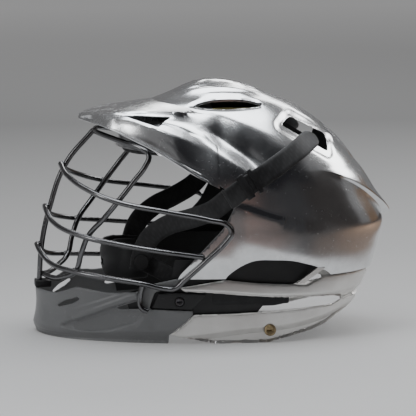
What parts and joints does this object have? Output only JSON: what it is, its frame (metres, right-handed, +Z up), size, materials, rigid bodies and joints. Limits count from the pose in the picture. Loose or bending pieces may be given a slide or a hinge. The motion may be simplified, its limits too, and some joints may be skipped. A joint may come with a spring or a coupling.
{
  "type": "lacrosse helmet",
  "caption": "Lacrosse helmet: chromed shell and visor, grey chin guard, silver jaw bands and a welded wire face mask, with chin strap, foam liner and rear fit dial.",
  "frame": {"origin": "centre of the bounding box's base, at the height where the jaw band rests", "axes": "+X towards the back of the head, -X towards the face, +Y towards the wearer's right, +Z up"},
  "size_m": [0.3401, 0.2162, 0.2372],
  "materials": {
    "chromed_shell": "mirror plated, worn",
    "silver_band": "satin silver",
    "grey_guard": "matte grey",
    "mask_wire": "dark polished",
    "black_moulding": "matte black",
    "dark_fastener": "blackened",
    "brass_fastener": "dull",
    "webbing": "woven nylon",
    "liner_foam": "soft closed-cell foam",
    "olive_foam": "closed-cell foam",
    "dial_moulding": "moulded"
  },
  "bodies": {
    "helmet": {"brow_pad": "liner_foam", "chin_guard": "grey_guard", "crown_foam": "olive_foam", "crown_shell": "chromed_shell", "fit_dial_base": "black_moulding", "fit_guides": "black_moulding", "jaw_nuts": "dark_fastener", "jaw_pad_left": "liner_foam", "jaw_pad_right": "liner_foam", "jaw_screws": "brass_fastener", "lower_shell": "silver_band", "lower_strap_left": "webbing", "lower_strap_right": "webbing", "mask_centre_bar": "mask_wire", "mask_chin_clip": "black_moulding", "mask_eye_loop_left": "mask_wire", "mask_eye_loop_right": "mask_wire", "mask_hook_left": "mask_wire", "mask_hook_right": "mask_wire", "mask_middle_bar": "mask_wire", "mask_mount_left": "black_moulding", "mask_mount_right": "black_moulding", "mask_nuts": "dark_fastener", "mask_rim": "mask_wire", "mask_screws": "dark_fastener", "rear_pad": "liner_foam", "side_pad_left": "liner_foam", "side_pad_right": "liner_foam", "strap_keeper_left": "black_moulding", "strap_keeper_right": "black_moulding", "strap_left": "webbing", "strap_right": "webbing", "visor": "chromed_shell", "visor_screw": "dark_fastener"},
    "slider_left": {"strap_slider_left": "black_moulding"},
    "slider_right": {"strap_slider_right": "black_moulding"},
    "chin_cup": {"chin_cup": "black_moulding", "chin_cup_pad": "liner_foam", "cup_snaps": "black_moulding"},
    "fit_dial": {"fit_dial": "dial_moulding"},
    "cradle": {"occipital_cradle": "black_moulding", "occipital_pad": "liner_foam"}
  },
  "joints": [
    {"name": "strap_slider_left_slide", "type": "slide", "parent": "helmet", "child": "slider_left", "axis": [0.8497, 0.1254, 0.5121], "range_m": [-0.004, 0.006]},
    {"name": "strap_slider_right_slide", "type": "slide", "parent": "helmet", "child": "slider_right", "axis": [0.8497, -0.1254, 0.5121], "range_m": [-0.004, 0.006]},
    {"name": "cup_tilt", "type": "hinge", "parent": "helmet", "child": "chin_cup", "pos_m": [-0.072, 0, 0.072], "axis": [0, 1, 0], "range_deg": [-10, 10]},
    {"name": "fit_dial_turn", "type": "hinge", "parent": "helmet", "child": "fit_dial", "pos_m": [0.136, 0, 0.082], "axis": [1, 0, 0], "range_deg": [0, 120]},
    {"name": "cradle_slide", "type": "slide", "parent": "helmet", "child": "cradle", "axis": [-1, 0, 0], "range_m": [0, 0.0101]}
  ],
  "couplings": [
    {"joint": "cradle_slide", "follows": "fit_dial_turn", "m_per_rad": 0.004775}
  ]
}
